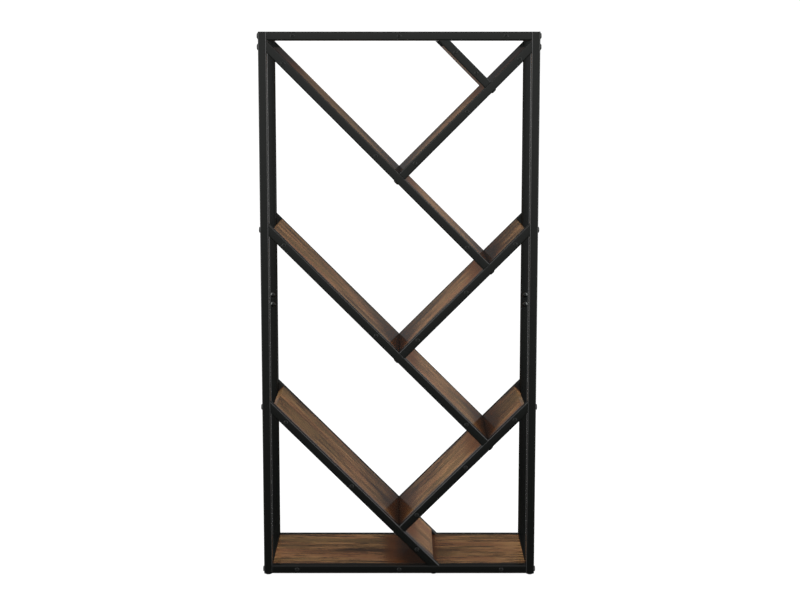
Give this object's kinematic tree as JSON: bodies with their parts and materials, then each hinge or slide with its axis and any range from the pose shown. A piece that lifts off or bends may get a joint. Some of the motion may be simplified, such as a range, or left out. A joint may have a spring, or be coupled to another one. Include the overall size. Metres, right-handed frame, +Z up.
{
  "type": "tree bookshelf",
  "caption": "Tall open bookshelf with a black square-tube frame and slanted brown boards that branch left and right, so that books lean in V-shaped bays.",
  "frame": {"origin": "on the floor, under the middle of the frame, with the levelling feet screwed in", "axes": "+Z up, +X to the right of someone who faces the shelf, front towards -Y"},
  "size_m": [0.6, 0.262, 1.193],
  "materials": {
    "frame_steel": "fine black powder coat, satin",
    "board_laminate": "particleboard with a rustic brown wood-grain laminate, matt",
    "fastener_steel": "black zinc",
    "foot_plastic": "moulded black nylon"
  },
  "bodies": {
    "frame": {"upright_front_left_lower": "frame_steel", "upright_front_left_upper": "frame_steel", "upright_front_right_lower": "frame_steel", "upright_front_right_upper": "frame_steel", "upright_rear_left_lower": "frame_steel", "upright_rear_left_upper": "frame_steel", "upright_rear_right_lower": "frame_steel", "upright_rear_right_upper": "frame_steel", "splice_sleeve_front_left": "frame_steel", "splice_sleeve_front_right": "frame_steel", "splice_sleeve_rear_left": "frame_steel", "splice_sleeve_rear_right": "frame_steel", "splice_bolt_front_left_lower": "fastener_steel", "splice_bolt_front_left_upper": "fastener_steel", "splice_bolt_front_right_lower": "fastener_steel", "splice_bolt_front_right_upper": "fastener_steel", "splice_bolt_rear_left_lower": "fastener_steel", "splice_bolt_rear_left_upper": "fastener_steel", "splice_bolt_rear_right_lower": "fastener_steel", "splice_bolt_rear_right_upper": "fastener_steel", "foot_plug_front_left": "foot_plastic", "foot_plug_front_right": "foot_plastic", "foot_plug_rear_left": "foot_plastic", "foot_plug_rear_right": "foot_plastic", "rail_bottom_front": "frame_steel", "rail_bottom_rear": "frame_steel", "rail_top_front": "frame_steel", "rail_top_rear": "frame_steel", "side_bar_bottom_left": "frame_steel", "side_bar_bottom_right": "frame_steel", "side_bar_top_left": "frame_steel", "side_bar_top_right": "frame_steel", "bottom_board": "board_laminate", "top_board": "board_laminate", "short_shelf_board": "board_laminate", "short_shelf_front_rail": "frame_steel", "short_shelf_rear_rail": "frame_steel", "upper_long_shelf_board": "board_laminate", "upper_long_shelf_front_rail": "frame_steel", "upper_long_shelf_rear_rail": "frame_steel", "upper_right_shelf_board": "board_laminate", "upper_right_shelf_front_rail": "frame_steel", "upper_right_shelf_rear_rail": "frame_steel", "middle_long_shelf_board": "board_laminate", "middle_long_shelf_front_rail": "frame_steel", "middle_long_shelf_rear_rail": "frame_steel", "middle_right_shelf_board": "board_laminate", "middle_right_shelf_front_rail": "frame_steel", "middle_right_shelf_rear_rail": "frame_steel", "lower_long_shelf_board": "board_laminate", "lower_long_shelf_front_rail": "frame_steel", "lower_long_shelf_rear_rail": "frame_steel", "lower_right_shelf_board": "board_laminate", "lower_right_shelf_front_rail": "frame_steel", "lower_right_shelf_rear_rail": "frame_steel"},
    "foot_front_left": {"levelling_foot_front_left": "foot_plastic"},
    "foot_front_right": {"levelling_foot_front_right": "foot_plastic"},
    "foot_rear_left": {"levelling_foot_rear_left": "foot_plastic"},
    "foot_rear_right": {"levelling_foot_rear_right": "foot_plastic"}
  },
  "joints": [
    {"name": "foot_front_left_height", "type": "slide", "parent": "frame", "child": "foot_front_left", "axis": [0, 0, -1], "range_m": [0, 0.01]},
    {"name": "foot_front_right_height", "type": "slide", "parent": "frame", "child": "foot_front_right", "axis": [0, 0, -1], "range_m": [0, 0.01]},
    {"name": "foot_rear_left_height", "type": "slide", "parent": "frame", "child": "foot_rear_left", "axis": [0, 0, -1], "range_m": [0, 0.01]},
    {"name": "foot_rear_right_height", "type": "slide", "parent": "frame", "child": "foot_rear_right", "axis": [0, 0, -1], "range_m": [0, 0.01]}
  ]
}
